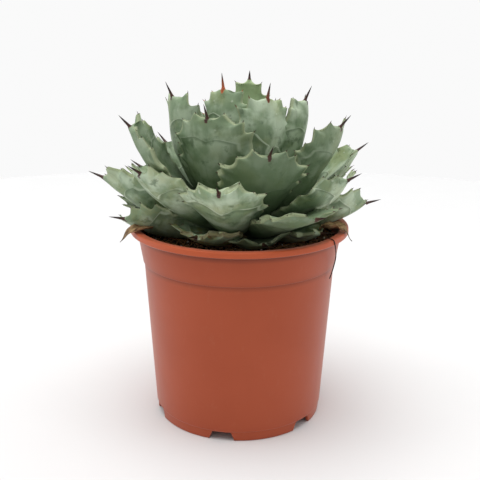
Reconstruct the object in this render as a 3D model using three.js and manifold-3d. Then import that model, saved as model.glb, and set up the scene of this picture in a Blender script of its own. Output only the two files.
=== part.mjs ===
// A small agave in a 12 cm nursery pot: a rosette of thick, channelled leaves on a short
// stem that stands in potting mix. Millimetres, +Z up, the pot stands on z = 0.
// Azimuth 0 is the front (-Y) and grows towards the right (+X).
import * as THREE from 'three';
import { mergeVertices } from 'three/addons/utils/BufferGeometryUtils.js';
import Module from 'manifold-3d';

const wasm = await Module();
wasm.setup();

// ---- driving dimensions ----
const potHeight = 108.4;
const lipRadius = 60;
const lipFaceHeight = 3.2; // the rolled edge of the lip, seen from the side
const lipBelow = 1.0; // how far the lip's underside drops towards the collar
const lipOverhang = 4; // the lip stands out from the collar by this much
const collarHeight = 15.8; // from the step up to the lip's underside
const collarTaper = 2.6; // the collar is this much narrower at the step, in radius
const stepWidth = 0.6; // the collar stands out from the wall by this much
const baseRadius = 46.65;
const wall = 1.4;
const potSides = 42;
const overrun = 1; // cutters reach this far past what they cut

const footHeight = 5; // the floor stands this high on the foot ring
const floorThickness = 1.6;
const notchCount = 6;
const notchTopWidth = 10;
const notchBottomWidth = 14;
const firstNotchAzimuth = -11;
const notchDepth = 5.6; // radial, well through the foot ring's wall
const drainHoleRadius = 4;
const drainCircleRadius = 30;
const drainSides = 16;

const soilBelowLip = 8;
const soilCrown = 1; // the mix stands higher around the stem
const clearance = 0.3; // gap between pieces that touch
const leafGap = 0.6; // gap where a leaf is cut back around its neighbour
const smallestEdge = 0.2; // finer crumbs of a cut are smoothed away

const stemRadius = 9;
const stemDepth = 20; // how far the stem goes down into the mix
const crownRadius = 17; // the ball at the top of the stem that every leaf springs from
const crownAboveMix = 2.6; // its centre above the mix
const stemSides = 12;

const budRise = 69; // the bud's point above the crown's centre
const budRadius = 6; // at half its height
const budNeckRadius = 3.5; // at four fifths of its height

const youngBow = 0.09; // how far a leaf's back bulges, per length, at the heart
const oldBow = 0.045; // and at the bottom of the rosette
const rootDistance = 12; // leaves start this far out in the crown, which cuts them at its skin
const leafThickness = 6;
const oldThickness = 4; // the lowest leaves have shrunk
const marginThickness = 0.9;
const neckShare = 0.38; // width of a leaf at its root against its widest
const widestAt = 0.74; // place of the widest point along the leaf
const tipShare = 0.08; // width where the terminal spine begins
const leafChannelShare = 0.17; // how far the margins rise above the midrib, per width
const toothLength = 1.6;
const spineLength = 8;
const spineRadius = 0.95;
const leafStations = 7;
const stationCrowding = 1.4; // stations sit closer together towards the tip
const firstTooth = 3; // the first station with a tooth
const crossShares = [-1, -0.45, 0.45, 1]; // points across the leaf, per half width
const tipThinning = 0.8; // share of the thickness that is gone at the tip

// Leaves from the innermost out. reach and rise place the point of the spine from the crown's
// centre: out from the axis, and up.
const leaves = [
  { azimuth: 168, reach: 16, rise: 86, width: 28 },
  { azimuth: -24, reach: 21, rise: 87, width: 22 },
  { azimuth: 28, reach: 30, rise: 83, width: 30 },
  { azimuth: -146, reach: 34, rise: 70, width: 32 },
  { azimuth: 142, reach: 31, rise: 71, width: 32 },
  { azimuth: 84, reach: 36, rise: 80, width: 34 },
  { azimuth: -78, reach: 38, rise: 82, width: 36 },
  { azimuth: -23, reach: 43, rise: 74, width: 40 },
  { azimuth: 180, reach: 50, rise: 63, width: 36 },
  { azimuth: 72, reach: 58, rise: 67, width: 36 },
  { azimuth: -120, reach: 53, rise: 52, width: 36 },
  { azimuth: 15, reach: 59, rise: 57, width: 39 },
  { azimuth: 132, reach: 60, rise: 46, width: 36 },
  { azimuth: -60, reach: 67, rise: 68, width: 38 },
  { azimuth: 100, reach: 71, rise: 49, width: 36 },
  { azimuth: -155, reach: 68, rise: 45, width: 36 },
  { azimuth: -9, reach: 68, rise: 40, width: 38 },
  { azimuth: 158, reach: 72, rise: 39, width: 36 },
  { azimuth: -52, reach: 68, rise: 45, width: 38 },
  { azimuth: -114, reach: 68, rise: 36, width: 36 },
  { azimuth: 58, reach: 70, rise: 41, width: 36 },
  { azimuth: 124, reach: 76, rise: 35, width: 36 },
  { azimuth: -84, reach: 80, rise: 36, width: 36 },
  { azimuth: -176, reach: 76, rise: 27, width: 36 },
  { azimuth: 86, reach: 76, rise: 21, width: 34 },
  { azimuth: 31, reach: 78, rise: 26, width: 36 },
  { azimuth: -138, reach: 77, rise: 25, width: 36 },
  { azimuth: -74, reach: 71, rise: 14, width: 34 },
  { azimuth: 146, reach: 76, rise: 21, width: 34 },
  { azimuth: -27, reach: 55, rise: 11, width: 34 },
  { azimuth: -108, reach: 74, rise: 16, width: 34 },
  { azimuth: 17, reach: 50, rise: 6, width: 30 },
  { azimuth: 110, reach: 70, rise: 11, width: 32 },
  { azimuth: -168, reach: 69, rise: 11, width: 32 },
  { azimuth: 60, reach: 57, rise: 8, width: 26 },
];

// Old leaves that have dried on the plant: thin and flat, lying over the lip.
const driedThickness = 2.2;
const driedChannelShare = 0.06;
const driedLength = 18.2; // their bases have rotted away
const driedLeaves = [ // the tips stand past the lip's rim and above it
  { azimuth: -72, pastLip: 5, aboveLip: 1.5, width: 14 },
  { azimuth: 76, pastLip: 2, aboveLip: 3, width: 15 },
];

// ---- finishes ----
function finish(color, roughness) {
  return () => new THREE.MeshStandardMaterial({ color, roughness, metalness: 0 });
}

const potPlastic = finish('#a9543a', 0.45);
const peatMix = finish('#3a2a20', 1);
const stemFlesh = finish('#8a8f5c', 0.8);
const leafSkin = finish('#7c9a83', 0.6);
const driedSkin = finish('#8a6a45', 0.9);

// ---- helpers ----
const radians = THREE.MathUtils.degToRad;

function toSolid(geometry) {
  const bare = geometry.clone();
  bare.deleteAttribute('normal');
  bare.deleteAttribute('uv');
  const merged = mergeVertices(bare.index ? bare.toNonIndexed() : bare, 1e-4);
  return new wasm.Manifold(new wasm.Mesh({
    numProp: 3,
    vertProperties: new Float32Array(merged.attributes.position.array),
    triVerts: new Uint32Array(merged.index.array),
  }));
}

function toMesh(name, solid, material) {
  const data = solid.getMesh();
  const geometry = new THREE.BufferGeometry();
  geometry.setAttribute('position', new THREE.BufferAttribute(data.vertProperties, 3));
  geometry.setIndex(new THREE.BufferAttribute(data.triVerts, 1));
  const mesh = new THREE.Mesh(geometry, material());
  mesh.name = name;
  return mesh;
}

// A cut can leave a crumb beyond the cutter: only the largest body stays.
function largestBody(solid) {
  return solid.decompose().reduce((best, body) => (body.volume() > best.volume() ? body : best));
}

// A profile of [radius, height] points turned about the vertical axis.
function turned(profile, sides) {
  const lathe = new THREE.LatheGeometry(profile.map(([r, z]) => new THREE.Vector2(r, z)), sides);
  return toSolid(lathe.rotateX(Math.PI / 2));
}

// ---- pot ----
const collarTopRadius = lipRadius - lipOverhang;
const collarBottomRadius = collarTopRadius - collarTaper;
const lipBottom = potHeight - lipFaceHeight;
const collarTop = lipBottom - lipBelow;
const collarBottom = collarTop - collarHeight;
const wallTopRadius = collarBottomRadius - stepWidth;
const floorTop = footHeight + floorThickness;

function wallRadiusAt(height) {
  return THREE.MathUtils.lerp(baseRadius, wallTopRadius, height / collarBottom);
}

function potSolid() {
  const body = turned([
    [0, footHeight],
    [wallRadiusAt(footHeight) - wall, footHeight],
    [baseRadius - wall, 0],
    [baseRadius, 0],
    [wallTopRadius, collarBottom],
    [collarBottomRadius, collarBottom + stepWidth],
    [collarTopRadius, collarTop],
    [lipRadius, lipBottom],
    [lipRadius, potHeight],
    [collarTopRadius - wall, potHeight],
    [collarTopRadius - wall, collarTop],
    [collarBottomRadius - wall, collarBottom + stepWidth],
    [wallTopRadius - wall, collarBottom],
    [wallRadiusAt(floorTop) - wall, floorTop],
    [0, floorTop],
  ], potSides);
  return notchCutters().concat(drainCutters()).reduce((pot, cutter) => pot.subtract(cutter), body);
}

// Trapezoid notches round the foot ring, wider at the bottom, that let water out.
function notchCutters() {
  const shape = new THREE.Shape([
    new THREE.Vector2(-notchBottomWidth / 2, -overrun),
    new THREE.Vector2(notchBottomWidth / 2, -overrun),
    new THREE.Vector2(notchTopWidth / 2, footHeight),
    new THREE.Vector2(-notchTopWidth / 2, footHeight),
  ]);
  return Array.from({ length: notchCount }, (_, i) => {
    const cutter = new THREE.ExtrudeGeometry(shape, { depth: notchDepth, bevelEnabled: false });
    cutter.rotateX(Math.PI / 2).translate(0, -(baseRadius - notchDepth + overrun), 0);
    cutter.rotateZ(radians(firstNotchAzimuth + (360 / notchCount) * i));
    return toSolid(cutter);
  });
}

function drainCutters() {
  const depth = floorThickness + 2 * overrun;
  return Array.from({ length: notchCount }, (_, i) => {
    const hole = new THREE.CylinderGeometry(drainHoleRadius, drainHoleRadius, depth, drainSides);
    hole.rotateX(Math.PI / 2).translate(0, -drainCircleRadius, footHeight + floorThickness / 2);
    hole.rotateZ(radians(firstNotchAzimuth + (360 / notchCount) * i));
    return toSolid(hole);
  });
}

// ---- potting mix ----
const soilTop = potHeight - soilBelowLip;
const stemBottom = soilTop - stemDepth;
const crownHeight = soilTop + crownAboveMix;

function collarRadiusAt(height) {
  const { mapLinear } = THREE.MathUtils;
  return mapLinear(height, collarBottom, collarTop, collarBottomRadius, collarTopRadius);
}

function soilSolid() {
  const mix = turned([
    [0, floorTop + clearance],
    [wallRadiusAt(floorTop) - wall - clearance, floorTop + clearance],
    [wallTopRadius - wall - clearance, collarBottom],
    [collarBottomRadius - wall - clearance, collarBottom + stepWidth],
    [collarRadiusAt(soilTop) - wall - 2 * clearance, soilTop],
    [2 * crownRadius, soilTop + soilCrown],
    [0, soilTop + soilCrown],
  ], potSides);
  return mix.subtract(turned(stemProfile(clearance), stemSides));
}

// Everything that the leaves have to stay above: pot and mix, a clearance higher.
function groundCutter() {
  const filled = [
    [0, -1],
    [baseRadius, -1],
    [lipRadius + clearance, lipBottom - clearance],
    [lipRadius + clearance, potHeight + clearance],
    [collarTopRadius - wall - clearance, potHeight + clearance],
    [collarTopRadius - wall - clearance, soilTop + clearance],
    [2 * crownRadius, soilTop + soilCrown + clearance],
    [0, soilTop + soilCrown + clearance],
  ];
  return turned(filled, potSides);
}

// ---- stem and bud ----
// A straight stem that swells into a ball.
function stemProfile(grow) {
  const ballSteps = 4;
  const firstAngle = Math.acos((stemRadius + grow) / (crownRadius + grow));
  const ball = Array.from({ length: ballSteps + 1 }, (_, i) => {
    const angle = THREE.MathUtils.lerp(-firstAngle, Math.PI / 2, i / ballSteps);
    return [(crownRadius + grow) * Math.cos(angle), crownHeight + (crownRadius + grow) * Math.sin(angle)];
  });
  ball[ballSteps][0] = 0;
  return [[0, stemBottom - grow], [stemRadius + grow, stemBottom - grow], ...ball];
}

// The furled leaves at the heart: a spindle that ends in a point.
function budProfile(grow) {
  const foot = crownHeight + crownRadius + clearance;
  const top = crownHeight + budRise;
  return [
    [0, foot - grow],
    [budRadius / 2 + grow, foot - grow],
    [budRadius + grow, THREE.MathUtils.lerp(foot, top, 0.5)],
    [budNeckRadius + grow, THREE.MathUtils.lerp(foot, top, 0.8)],
    [0, top + grow],
  ];
}

// ---- leaves ----
// Half the width at share s of the length: a neck that widens to the blade, then a round end.
function widthShare(s) {
  if (s < widestAt) {
    return THREE.MathUtils.lerp(neckShare, 1, Math.sin((Math.PI / 2) * (s / widestAt)));
  }
  const end = (s - widestAt) / (1 - widestAt);
  return THREE.MathUtils.lerp(tipShare, 1, (1 - end ** 2) ** 0.6);
}

// A leaf is a ring of points carried along a bowed midrib. The upper side is a channel, the
// lower side a keel, the margins stand out in teeth at every other station, and the last
// ring closes to the point of the spine. grow makes the same leaf fatter on every side.
function leafSolid({ azimuth, reach, rise, width, root, channelShare }, age, thickness, grow) {
  const centre = new THREE.Vector2(0, crownHeight);
  const end = new THREE.Vector2(reach, crownHeight + rise);
  const start = centre.clone().add(end.clone().sub(centre).setLength(root));
  const along = end.clone().sub(start);
  const blade = end.clone().sub(along.clone().setLength(spineLength));
  const bow = along.length() * THREE.MathUtils.lerp(youngBow, oldBow, age);
  const bulge = new THREE.Vector2(along.y, -along.x).setLength(2 * bow);
  const middle = start.clone().add(blade).multiplyScalar(0.5).add(bulge);
  const midrib = new THREE.QuadraticBezierCurve(start, middle, blade);
  const around = radians(azimuth);
  const outward = new THREE.Vector3(Math.sin(around), -Math.cos(around), 0);
  const across = new THREE.Vector3(Math.cos(around), Math.sin(around), 0);
  const lift = new THREE.Vector3(0, 0, 1);
  const positions = [];

  const place = (point) => outward.clone().multiplyScalar(point.x).addScaledVector(lift, point.y);
  for (let i = 0; i <= leafStations; i += 1) {
    const s = 1 - (1 - i / leafStations) ** stationCrowding;
    const middlePoint = place(midrib.getPoint(s));
    const forward = place(midrib.getTangent(s)).normalize();
    const up = new THREE.Vector3().crossVectors(forward, across).normalize();
    const tooth = i % 2 === 1 && i >= firstTooth ? toothLength : 0;
    const half = Math.max((width / 2) * widthShare(s), spineRadius) + grow;
    const channel = channelShare * width * widthShare(s);
    const depth = Math.max(thickness * (1 - tipThinning * s * s), 2 * spineRadius);
    const ring = (share, below) => {
      const edge = Math.abs(share) === 1 ? tooth : 0;
      const raise = channel * share * share + (below ? -grow : grow);
      const keel = below ? THREE.MathUtils.lerp(depth, marginThickness, share * share) : 0;
      return middlePoint.clone()
        .addScaledVector(across, share * half + Math.sign(share) * edge)
        .addScaledVector(up, raise - keel)
        .addScaledVector(forward, edge + (s > widestAt ? grow : 0));
    };
    crossShares.forEach((share) => positions.push(ring(share, false)));
    crossShares.toReversed().forEach((share) => positions.push(ring(share, true)));
  }

  const ringSize = 2 * crossShares.length;
  const rootCentre = positions.length;
  positions.push(place(start).addScaledVector(place(midrib.getTangent(0)), -grow));
  positions.push(place(end).addScaledVector(place(midrib.getTangent(1)), grow));
  const index = [];
  for (let i = 0; i < leafStations; i += 1) {
    for (let j = 0; j < ringSize; j += 1) {
      const a = i * ringSize + j;
      const b = i * ringSize + ((j + 1) % ringSize);
      index.push(a, b + ringSize, b, a, a + ringSize, b + ringSize);
    }
  }
  const last = leafStations * ringSize;
  for (let j = 0; j < ringSize; j += 1) {
    const next = (j + 1) % ringSize;
    index.push(rootCentre, j, next);
    index.push(rootCentre + 1, last + next, last + j);
  }
  const geometry = new THREE.BufferGeometry().setFromPoints(positions);
  geometry.setIndex(index);
  return toSolid(geometry);
}

// ---- assembly ----
const plant = new THREE.Group();
plant.add(toMesh('pot', potSolid(), potPlastic));
plant.add(toMesh('potting_mix', soilSolid(), peatMix));
plant.add(toMesh('stem', turned(stemProfile(0), stemSides), stemFlesh));
plant.add(toMesh('heart_bud', turned(budProfile(0), stemSides), leafSkin));

// Each leaf is cut back where an inner leaf, the stem, the bud, the pot or the mix already is.
const taken = [
  groundCutter(),
  turned(stemProfile(clearance), stemSides),
  turned(budProfile(clearance), stemSides),
];

function addLeaf(name, leaf, age, thickness, material) {
  const whole = leafSolid(leaf, age, thickness, 0);
  const cut = taken.reduce((solid, cutter) => solid.subtract(cutter), whole);
  plant.add(toMesh(name, largestBody(cut.simplify(smallestEdge)), material));
  taken.push(whole.add(leafSolid(leaf, age, thickness, leafGap)));
}

leaves.forEach((leaf, i) => {
  const name = `leaf_${String(i + 1).padStart(2, '0')}`;
  const age = i / (leaves.length - 1);
  const thickness = THREE.MathUtils.lerp(leafThickness, oldThickness, age);
  addLeaf(name, { ...leaf, root: rootDistance, channelShare: leafChannelShare }, age, thickness, leafSkin);
});
driedLeaves.forEach(({ azimuth, pastLip, aboveLip, width }, i) => {
  const reach = lipRadius + pastLip;
  const rise = potHeight + aboveLip - crownHeight;
  const root = Math.hypot(reach, rise) - driedLength;
  const dried = { azimuth, reach, rise, width, root, channelShare: driedChannelShare };
  addLeaf(`dried_leaf_${i + 1}`, dried, 1, driedThickness, driedSkin);
});

// The origin is under the middle of the whole plant's box, on the surface the pot stands on.
const middle = new THREE.Box3().setFromObject(plant, true).getCenter(new THREE.Vector3());
plant.position.set(-middle.x, -middle.y, 0);

export default plant;
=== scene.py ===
import bpy
import numpy as np
from mathutils import Matrix, Vector


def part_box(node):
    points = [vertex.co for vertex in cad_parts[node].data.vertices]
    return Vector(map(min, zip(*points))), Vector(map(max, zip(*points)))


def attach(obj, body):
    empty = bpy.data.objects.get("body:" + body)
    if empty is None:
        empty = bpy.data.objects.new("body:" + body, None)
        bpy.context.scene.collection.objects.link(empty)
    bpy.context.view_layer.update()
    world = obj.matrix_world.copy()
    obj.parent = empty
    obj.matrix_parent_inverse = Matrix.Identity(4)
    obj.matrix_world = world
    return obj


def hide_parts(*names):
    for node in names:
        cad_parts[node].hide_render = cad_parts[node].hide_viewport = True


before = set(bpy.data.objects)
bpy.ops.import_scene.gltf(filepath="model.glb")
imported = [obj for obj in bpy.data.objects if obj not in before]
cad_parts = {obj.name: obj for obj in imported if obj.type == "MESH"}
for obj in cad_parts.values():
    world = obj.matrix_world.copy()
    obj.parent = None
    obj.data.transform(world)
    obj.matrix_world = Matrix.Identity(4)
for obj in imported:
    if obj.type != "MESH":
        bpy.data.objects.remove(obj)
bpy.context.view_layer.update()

mm = 0.001

# everything is laid out in millimetres from the pot's axis, at the height of the surface it stands on
potLow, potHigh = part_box("pot")
potAxis = np.array([(potLow[0] + potHigh[0]) / 2, (potLow[1] + potHigh[1]) / 2, potLow[2]])
potHeight = (potHigh[2] - potLow[2]) / mm
lipRadius = (potHigh[0] - potLow[0]) / 2 / mm
mixBelowLip, crownAboveMix = 8.0, 2.6
mixLevel = potHeight - mixBelowLip
crownHeight = mixLevel + crownAboveMix  # the middle of the ball that every leaf springs from


def linear(hexColour):
    # sRGB hex to the linear colour that shaders take
    parts = [int(hexColour[i:i + 2], 16) / 255 for i in (1, 3, 5)]
    return tuple(c / 12.92 if c <= 0.04045 else ((c + 0.055) / 1.055) ** 2.4 for c in parts) + (1.0,)


def unit(vectors):
    return vectors / np.linalg.norm(vectors, axis=-1, keepdims=True)


def smooth(low, high, x):
    # 0 below low, 1 above high, an S curve between
    t = np.clip((x - low) / (high - low), 0, 1)
    return t * t * (3 - 2 * t)


# camera and light: the air is brighter behind the pot than before it, and side, top and front are watts
view = {"aside": 0.4, "distance": 411.9, "height": 213.4, "tiltDown": 15.643, "roll": 0.37, "lens": 57.74}
studio = {
    "floor": "#e2e2e2", "fleck": "#e5e5e5", "floorRadius": 750,
    "air": "#ffffff", "behind": 0.955, "before": 0.42,
    "side": 0.9, "top": 62.0, "front": 0.9, "aimHeight": 110,
}


def placeCamera():
    data = bpy.data.cameras.new("camera")
    data.lens = view["lens"]
    data.sensor_width = 36
    camera = bpy.data.objects.new("camera", data)
    bpy.context.scene.collection.objects.link(camera)
    spot = Vector((view["aside"], -view["distance"], view["height"])) * mm + Vector(potAxis)
    tilt = Matrix.Rotation(np.radians(90 - view["tiltDown"]), 4, "X")
    camera.matrix_world = Matrix.Translation(spot) @ tilt @ Matrix.Rotation(np.radians(view["roll"]), 4, "Z")
    bpy.context.scene.camera = camera


def softbox(name, size, spot, power):
    data = bpy.data.lights.new(name, "AREA")
    data.shape = "RECTANGLE"
    data.size, data.size_y = size
    data.energy = power
    lamp = bpy.data.objects.new(name, data)
    bpy.context.scene.collection.objects.link(lamp)
    spot = Vector(spot)
    aim = Vector((0, 0, studio["aimHeight"] * mm)) - spot
    lamp.matrix_world = Matrix.Translation(spot) @ aim.to_track_quat("-Z", "Y").to_matrix().to_4x4()


def setStudio():
    softbox("softbox.left", (0.8, 1.0), (-1.1, -0.2, 0.6), studio["side"])
    softbox("softbox.right", (0.8, 1.0), (1.1, -0.2, 0.6), studio["side"])
    softbox("softbox.top", (2.6, 2.4), (-0.3, -0.3, 3.0), studio["top"])
    softbox("softbox.front", (1.6, 0.8), (0.0, -1.5, 1.1), studio["front"])
    world = bpy.data.worlds.new("studio air")
    world.use_nodes = True
    tree = world.node_tree
    air = tree.nodes["Background"]
    air.inputs["Color"].default_value = linear(studio["air"])
    place = node(tree, "ShaderNodeTexCoord").outputs["Generated"]
    depth = node(tree, "ShaderNodeSeparateXYZ", None, Vector=place).outputs["Y"]
    power = node(tree, "ShaderNodeMapRange", {"interpolation_type": "SMOOTHSTEP"}, Value=depth, From_Min=-0.7,
                 From_Max=0.3, To_Min=studio["before"], To_Max=studio["behind"]).outputs["Result"]
    tree.links.new(power, air.inputs["Strength"])
    bpy.context.scene.world = world
    bpy.context.scene.view_settings.view_transform = "Standard"


def layFloor():
    # one flat round sheet
    turn = np.linspace(0, 2 * np.pi, 96, endpoint=False)
    radius = np.linspace(0.02, 1, 6)[:, None] * studio["floorRadius"]
    floor = addMesh("floor", *gridFaces(turned(radius, 0, turn)))
    floor.data.materials.append(floorPaper())


# meshes
def turned(radius, height, turn):
    # places at a radius and a height, turned about the pot's axis from the front
    places = np.broadcast_arrays(radius * np.sin(turn), -radius * np.cos(turn), height)
    return np.stack(places, axis=-1)


def gridFaces(points, closeEnd=False):
    # points[i, j] are rings that become quads between rings i and i+1, and an end is a fan to its middle
    rows, columns = points.shape[:2]
    order = np.arange(rows * columns).reshape(rows, columns)
    right = np.roll(order, -1, axis=1)
    faces = [np.stack([order[:-1], right[:-1], right[1:], order[1:]], axis=-1).reshape(-1, 4)]
    faces.append(np.stack([right[0], order[0], np.full(columns, rows * columns)], axis=-1))
    vertices = np.vstack([points.reshape(-1, 3), points[0].mean(axis=0)])
    if closeEnd:
        faces.append(np.stack([order[-1], right[-1], np.full(columns, len(vertices))], axis=-1))
        vertices = np.vstack([vertices, points[-1].mean(axis=0)])
    return vertices, faces


def closedTube(points):
    # a grid of rings closed at both ends, turned so that its faces point outwards
    vertices, faces = gridFaces(points, closeEnd=True)
    quads = vertices[faces[0]] - vertices.mean(axis=0)
    volume = np.einsum("ij,ij->", quads[:, 0], np.cross(quads[:, 1], quads[:, 2]))
    volume += np.einsum("ij,ij->", quads[:, 0], np.cross(quads[:, 2], quads[:, 3]))
    return vertices, faces if volume > 0 else [part[:, ::-1] for part in faces]


def tubeAlong(line, radius, sides, upright):
    # rings at a radius round a line, or round many lines at once
    run = unit(np.gradient(line, axis=-2))
    sideways = unit(np.cross(run, upright))
    above = np.cross(sideways, run)
    ring = np.linspace(0, 2 * np.pi, sides, endpoint=False)[:, None]
    circle = np.cos(ring) * sideways[..., None, :] + np.sin(ring) * above[..., None, :]
    return line[..., None, :] + radius * circle


def rough(x, y, size, seed):
    # smooth random height between -1 and 1: a square lattice of random values, blended in between
    lattice = np.random.default_rng(seed).uniform(-1, 1, (64, 64))
    column, row = x / size, y / size
    left, low = np.floor(column).astype(int), np.floor(row).astype(int)
    a, b = smooth(0, 1, column - left), smooth(0, 1, row - low)
    corner = lambda i, j: lattice[(low + j) % 64, (left + i) % 64]
    near = corner(0, 0) * (1 - a) + corner(1, 0) * a
    far = corner(0, 1) * (1 - a) + corner(1, 1) * a
    return near * (1 - b) + far * b


def addMesh(name, vertices, faces):
    # faces is a list of arrays, each with rows of three or four corners
    mesh = bpy.data.meshes.new(name)
    sizes = np.concatenate([np.full(len(part), part.shape[1]) for part in faces])
    corners = np.concatenate([part.ravel() for part in faces])
    mesh.vertices.add(len(vertices))
    mesh.vertices.foreach_set("co", (vertices * mm + potAxis).astype(np.float32).ravel())
    mesh.loops.add(len(corners))
    mesh.loops.foreach_set("vertex_index", corners.astype(np.int32))
    mesh.polygons.add(len(sizes))
    starts = np.concatenate([[0], np.cumsum(sizes)[:-1]])
    mesh.polygons.foreach_set("loop_start", starts.astype(np.int32))
    mesh.polygons.foreach_set("loop_total", sizes.astype(np.int32))
    mesh.polygons.foreach_set("use_smooth", np.ones(len(sizes), dtype=bool))
    mesh.update(calc_edges=True)
    mesh.validate()
    piece = bpy.data.objects.new(name, mesh)
    bpy.context.scene.collection.objects.link(piece)
    return piece


def paintVertices(piece, name, values):
    layer = piece.data.attributes.new(name, "FLOAT", "POINT")
    layer.data.foreach_set("value", np.asarray(values, dtype=np.float32).ravel())


def layUv(piece, flat):
    # flat holds one place per vertex, in metres across and along the leaf
    layer = piece.data.uv_layers.new(name="skin")
    loops = np.empty(len(piece.data.loops), dtype=np.int32)
    piece.data.loops.foreach_get("vertex_index", loops)
    layer.data.foreach_set("uv", np.asarray(flat, dtype=np.float32)[loops].ravel())


def merge(parts):
    # joins several (vertices, faces) into one
    offset = 0
    allVertices, allFaces = [], []
    for vertices, faces in parts:
        allVertices.append(vertices)
        allFaces += [part + offset for part in faces]
        offset += len(vertices)
    return np.vstack(allVertices), allFaces


def finishPiece(piece, material, slot, *nodes):
    piece.data.materials.append(material)
    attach(piece, "root")
    if nodes:
        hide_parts(*nodes)


# materials
def newMaterial(name, uvMap=None):
    # its patterns are placed by the piece's own uv map, or else by where the piece is
    material = bpy.data.materials.new(name)
    material.use_nodes = True
    tree = material.node_tree
    if uvMap:
        return material, tree, node(tree, "ShaderNodeUVMap", {"uv_map": uvMap}).outputs["UV"]
    return material, tree, node(tree, "ShaderNodeTexCoord").outputs["Object"]


def plug(tree, made, inputs):
    # numbers and colours are set on a node's inputs, and sockets are linked to them; i0 is its first input
    for key, value in inputs.items():
        socket = made.inputs[int(key[1:]) if key[1:].isdigit() else key.replace("_", " ")]
        if isinstance(value, bpy.types.NodeSocket):
            tree.links.new(value, socket)
        else:
            socket.default_value = value


def node(tree, kind, settings=None, **inputs):
    # adds one node, with its own settings and what goes into it
    made = tree.nodes.new(kind)
    for key, value in (settings or {}).items():
        setattr(made, key, value)
    plug(tree, made, inputs)
    return made


def finish(material, **inputs):
    plug(material.node_tree, material.node_tree.nodes["Principled BSDF"], inputs)
    return material


def pattern(tree, place, size, detail=3.0, roughness=0.5, stretch=(1, 1, 1)):
    # cloudy blotches; size is the real width of one in millimetres
    scale = tuple(share / (size * mm) for share in stretch)
    scaled = node(tree, "ShaderNodeMapping", None, Vector=place, Scale=scale)
    return node(tree, "ShaderNodeTexNoise", None, Vector=scaled.outputs[0], Scale=1.0,
                Detail=detail, Roughness=roughness).outputs["Fac"]


def mask(tree, strength, *parts):
    # how far a coat covers: its parts multiplied together. A part is a socket or a painted attribute's name,
    # and (part, low, high) is an S curve of it, 0 at low and 1 at high
    cover = strength
    for part in parts:
        value, *span = part if isinstance(part, tuple) else (part,)
        if isinstance(value, str):
            value = node(tree, "ShaderNodeAttribute", {"attribute_name": value}).outputs["Fac"]
        if span:
            value = node(tree, "ShaderNodeMapRange", {"interpolation_type": "SMOOTHSTEP"}, Value=value,
                         From_Min=span[0], From_Max=span[1]).outputs["Result"]
        both = {"operation": "MULTIPLY"}
        cover = value if cover == 1 else node(tree, "ShaderNodeMath", both, i0=cover, i1=value).outputs[0]
    return cover


def paint(tree, base, *coats):
    # coats laid over a base: each is (colour, strength, parts of its mask), and hex colours are turned linear
    colour = linear(base) if isinstance(base, str) else base
    for over, strength, *parts in coats:
        over = linear(over) if isinstance(over, str) else over
        cover = mask(tree, strength, *parts)
        colour = node(tree, "ShaderNodeMix", {"data_type": "RGBA"}, i0=cover, i6=colour, i7=over).outputs[2]
    return colour


def relief(tree, *layers):
    # layers of (height, real depth in millimetres), each raised over the ones before it
    below = {}
    for height, depth in layers:
        raised = node(tree, "ShaderNodeBump", None, Height=height, Distance=depth * mm, Strength=1.0, **below)
        below = {"Normal": raised.outputs["Normal"]}
    return raised.outputs["Normal"]


def floorPaper():
    # matt backdrop paper, a little fibrous
    material, tree, place = newMaterial("backdrop paper")
    colour = paint(tree, studio["floor"], (studio["fleck"], 1, pattern(tree, place, 60)))
    return finish(material, Base_Color=colour, Roughness=0.9)


# leaf skin
# root is painted shade for the leaf bases, deep among the other leaves
skin = {
    "bloom": "#bccdb2", "sage": "#849a79", "deep": "#4a6143", "root": "#3c5034", "fresh": "#b8d09a",
    "yellow": "#a3a868", "rim": "#b0b88e", "print": "#c6d4ba", "dull": "#566a4b", "bark": "#86684a",
    "horn": "#2b1c18", "hornRoot": "#4d2f25", "youngHorn": "#c2653a",
}

# each pattern's width in millimetres, then its detail, roughness and stretch
skinPatterns = {
    "mottle": (13, 4), "streak": (11, 3, 0.6, (3.2, 0.6, 1)), "rubbed": (7, 5, 0.65), "warm": (19, 3),
    "worn": (8, 5, 0.7), "broken": (16, 2), "speck": (1.6, 2), "scar": (5, 4, 0.6), "ragged": (3, 4),
    "withered": (7, 3), "grain": (0.9, 3),
}


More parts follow.
